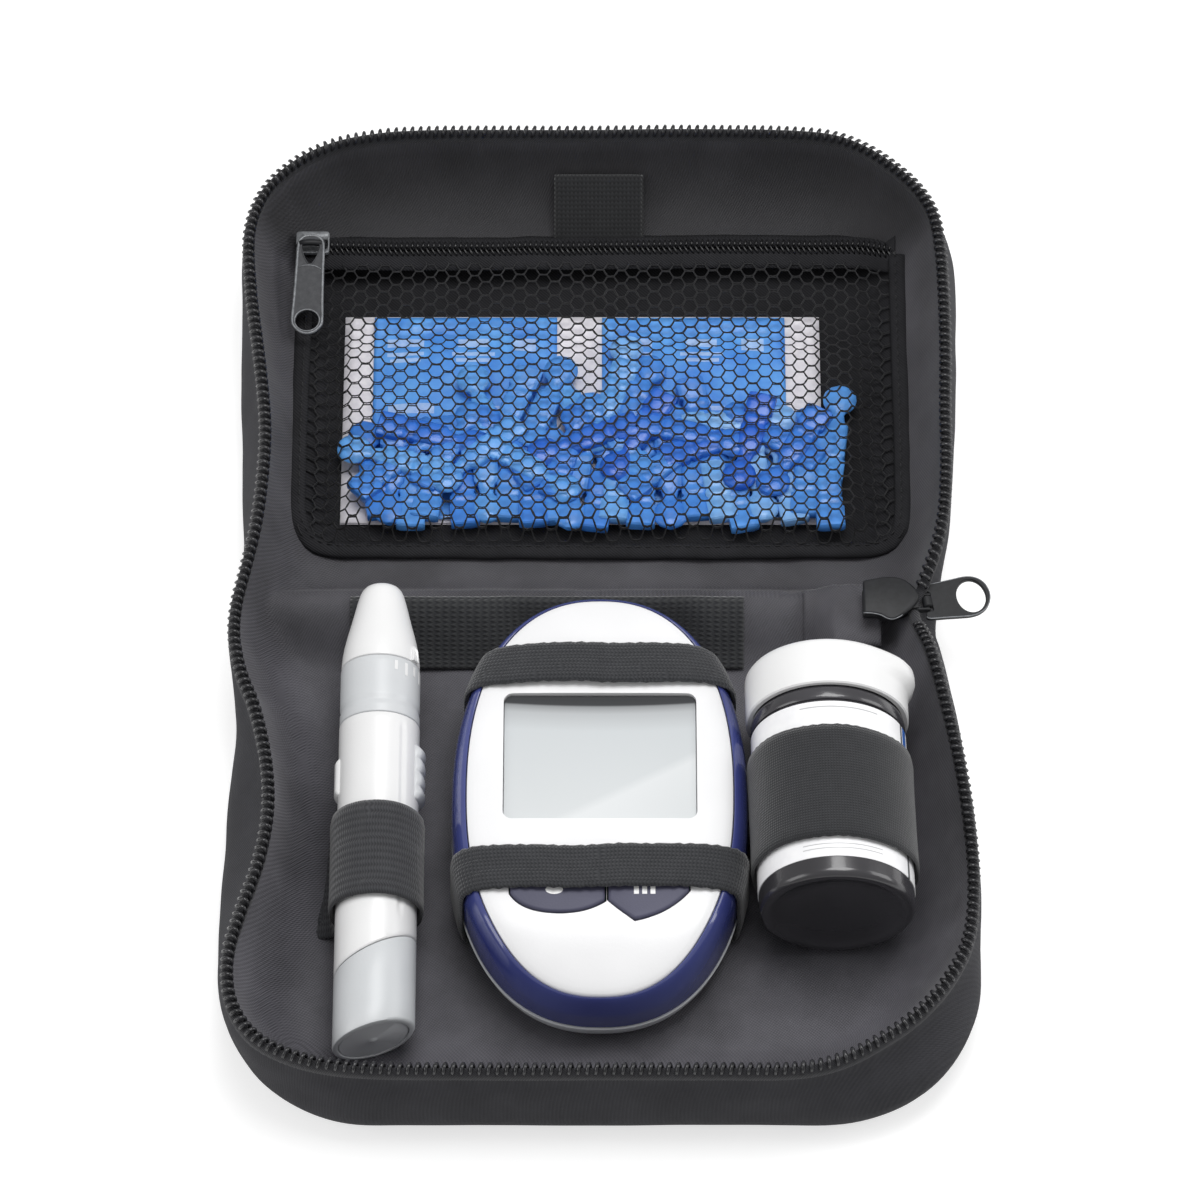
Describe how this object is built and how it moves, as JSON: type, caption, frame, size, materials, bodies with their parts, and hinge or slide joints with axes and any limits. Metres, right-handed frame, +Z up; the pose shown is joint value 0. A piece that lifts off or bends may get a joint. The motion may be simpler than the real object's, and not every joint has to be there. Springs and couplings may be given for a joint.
{
  "type": "glucose meter case",
  "caption": "Zipped clamshell pouch lying open, with a glucose meter, a lancing pen and a strip vial strapped in the base and a mesh pocket of supplies in the lid.",
  "frame": {"origin": "centre of the bounding box at the table surface, with the case lying open", "axes": "+X to the right along the fold, +Y from the base to the lid, +Z up"},
  "size_m": [0.1432, 0.214, 0.0347],
  "materials": {
    "shell_fabric": "dark grey woven polyester, matt",
    "lining_fabric": "dark grey twill lining with a slight sheen",
    "elastic": "dark grey ribbed elastic",
    "net_fabric": "black knitted net and binding",
    "zip_plastic": "black moulded zip teeth",
    "slider_enamel": "black enamelled die-cast metal",
    "paper": "white uncoated paper",
    "sachet_foil": "blue printed foil laminate",
    "lancet_plastic": "blue moulded plastic",
    "navy_plastic": "navy moulded plastic, glossy",
    "white_plastic": "white moulded plastic, satin",
    "pale_plastic": "pale grey moulded plastic, satin",
    "key_rubber": "grey blue silicone keys",
    "lcd_window": "clear window",
    "lcd_grey": "grey green display glass",
    "circuit": "green fibreglass board",
    "steel": "bright steel",
    "vial_plastic": "near black moulded plastic",
    "strip_plastic": "white plastic strips"
  },
  "bodies": {
    "base": {"base_shell": "shell_fabric", "base_lining": "lining_fabric", "base_zip_tape": "net_fabric", "base_zip_teeth": "zip_plastic", "spine_panel": "lining_fabric", "spine_webbing": "elastic", "zip_end_tape": "net_fabric", "meter_strap_upper": "elastic", "meter_strap_lower": "elastic", "pen_loop": "elastic", "vial_loop": "elastic"},
    "lid": {"lid_shell": "shell_fabric", "lid_lining": "lining_fabric", "lid_zip_tape": "net_fabric", "lid_zip_teeth": "zip_plastic", "lid_loop": "elastic", "pocket_binding": "net_fabric", "pocket_net": "net_fabric", "pocket_zip_upper": "net_fabric", "pocket_zip_lower": "net_fabric", "leaflet": "paper", "sachet_left": "sachet_foil", "sachet_right": "sachet_foil", "lancet_01": "lancet_plastic", "lancet_02": "lancet_plastic", "lancet_03": "lancet_plastic", "lancet_04": "lancet_plastic", "lancet_05": "lancet_plastic", "lancet_06": "lancet_plastic", "lancet_07": "lancet_plastic", "lancet_08": "lancet_plastic", "lancet_09": "lancet_plastic", "lancet_10": "lancet_plastic"},
    "main_slider": {"main_slider": "slider_enamel"},
    "main_pull": {"main_pull_tab": "slider_enamel"},
    "pocket_slider": {"pocket_slider": "slider_enamel"},
    "pocket_pull": {"pocket_pull_tab": "slider_enamel"},
    "meter": {"meter_back_housing": "pale_plastic", "meter_bezel": "navy_plastic", "meter_face": "white_plastic", "lcd_lens": "lcd_window", "lcd_panel": "lcd_grey", "circuit_board": "circuit", "coin_cell": "steel", "strip_port": "vial_plastic"},
    "battery_door": {"battery_door": "pale_plastic"},
    "button_left": {"button_left": "key_rubber"},
    "button_right": {"button_right": "key_rubber"},
    "pen": {"pen_body": "white_plastic", "lancet_carrier": "pale_plastic", "pen_lancet": "lancet_plastic", "drive_spring": "steel"},
    "cocking_sleeve": {"cocking_sleeve": "pale_plastic"},
    "release_button": {"release_button": "pale_plastic"},
    "depth_dial": {"depth_dial": "pale_plastic"},
    "nose_cap": {"pen_nose_cap": "white_plastic"},
    "vial": {"vial_body": "vial_plastic", "test_strips": "strip_plastic"},
    "vial_cap": {"vial_cap": "white_plastic"}
  },
  "joints": [
    {"name": "lid_fold", "type": "hinge", "parent": "base", "child": "lid", "pos_m": [0, 0, 0.0236], "axis": [1, 0, 0], "range_deg": [0, 180], "deforming": ["spine_panel", "spine_webbing"]},
    {"name": "main_slider_travel", "type": "slide", "parent": "base", "child": "main_slider", "axis": [1, 0, 0], "range_m": [-0.006, 0]},
    {"name": "main_pull_swing", "type": "hinge", "parent": "main_slider", "child": "main_pull", "pos_m": [0.06015, -0.0015, 0.0159], "axis": [0, 1, 0], "range_deg": [-80, 0]},
    {"name": "pocket_slider_travel", "type": "slide", "parent": "lid", "child": "pocket_slider", "axis": [-1, 0, 0], "range_m": [-0.105, 0]},
    {"name": "pocket_pull_swing", "type": "hinge", "parent": "pocket_slider", "child": "pocket_pull", "pos_m": [-0.05805, 0.0846, 0.0132], "axis": [1, 0, 0], "range_deg": [-120, 0]},
    {"name": "meter_lift", "type": "slide", "parent": "base", "child": "meter", "axis": [0, 0, -1], "range_m": [-0.04, 0], "deforming": ["meter_strap_upper", "meter_strap_lower"]},
    {"name": "battery_door_slide", "type": "slide", "parent": "meter", "child": "battery_door", "axis": [0, 1, 0], "range_m": [-0.007, 0]},
    {"name": "button_left_press", "type": "slide", "parent": "meter", "child": "button_left", "axis": [0, 0, -1], "range_m": [0, 0.0007], "stiffness_N_per_m": 600},
    {"name": "button_right_press", "type": "slide", "parent": "meter", "child": "button_right", "axis": [0, 0, -1], "range_m": [0, 0.0007], "stiffness_N_per_m": 600},
    {"name": "pen_lift", "type": "slide", "parent": "base", "child": "pen", "axis": [0, 0, -1], "range_m": [-0.04, 0], "deforming": ["pen_loop"]},
    {"name": "cocking_pull", "type": "slide", "parent": "pen", "child": "cocking_sleeve", "axis": [0, 0.9978, 0.0663], "range_m": [-0.005, 0], "stiffness_N_per_m": 400},
    {"name": "release_press", "type": "slide", "parent": "pen", "child": "release_button", "axis": [-1, 0, 0], "range_m": [0, 0.0008], "stiffness_N_per_m": 600},
    {"name": "depth_dial_turn", "type": "hinge", "parent": "pen", "child": "depth_dial", "pos_m": [-0.04255, -0.02505, 0.01591], "axis": [0, 0.9978, 0.0663], "range_deg": [-75, 75]},
    {"name": "nose_cap_pull", "type": "slide", "parent": "pen", "child": "nose_cap", "axis": [0, -0.9978, -0.0663], "range_m": [-0.008, 0]},
    {"name": "vial_lift", "type": "slide", "parent": "base", "child": "vial", "axis": [0, 0, -1], "range_m": [-0.04, 0], "deforming": ["vial_loop"]},
    {"name": "vial_cap_swing", "type": "hinge", "parent": "vial", "child": "vial_cap", "pos_m": [0.02655, -0.0298, 0.01925], "axis": [0, 0, -1], "range_deg": [-15, 0]}
  ]
}
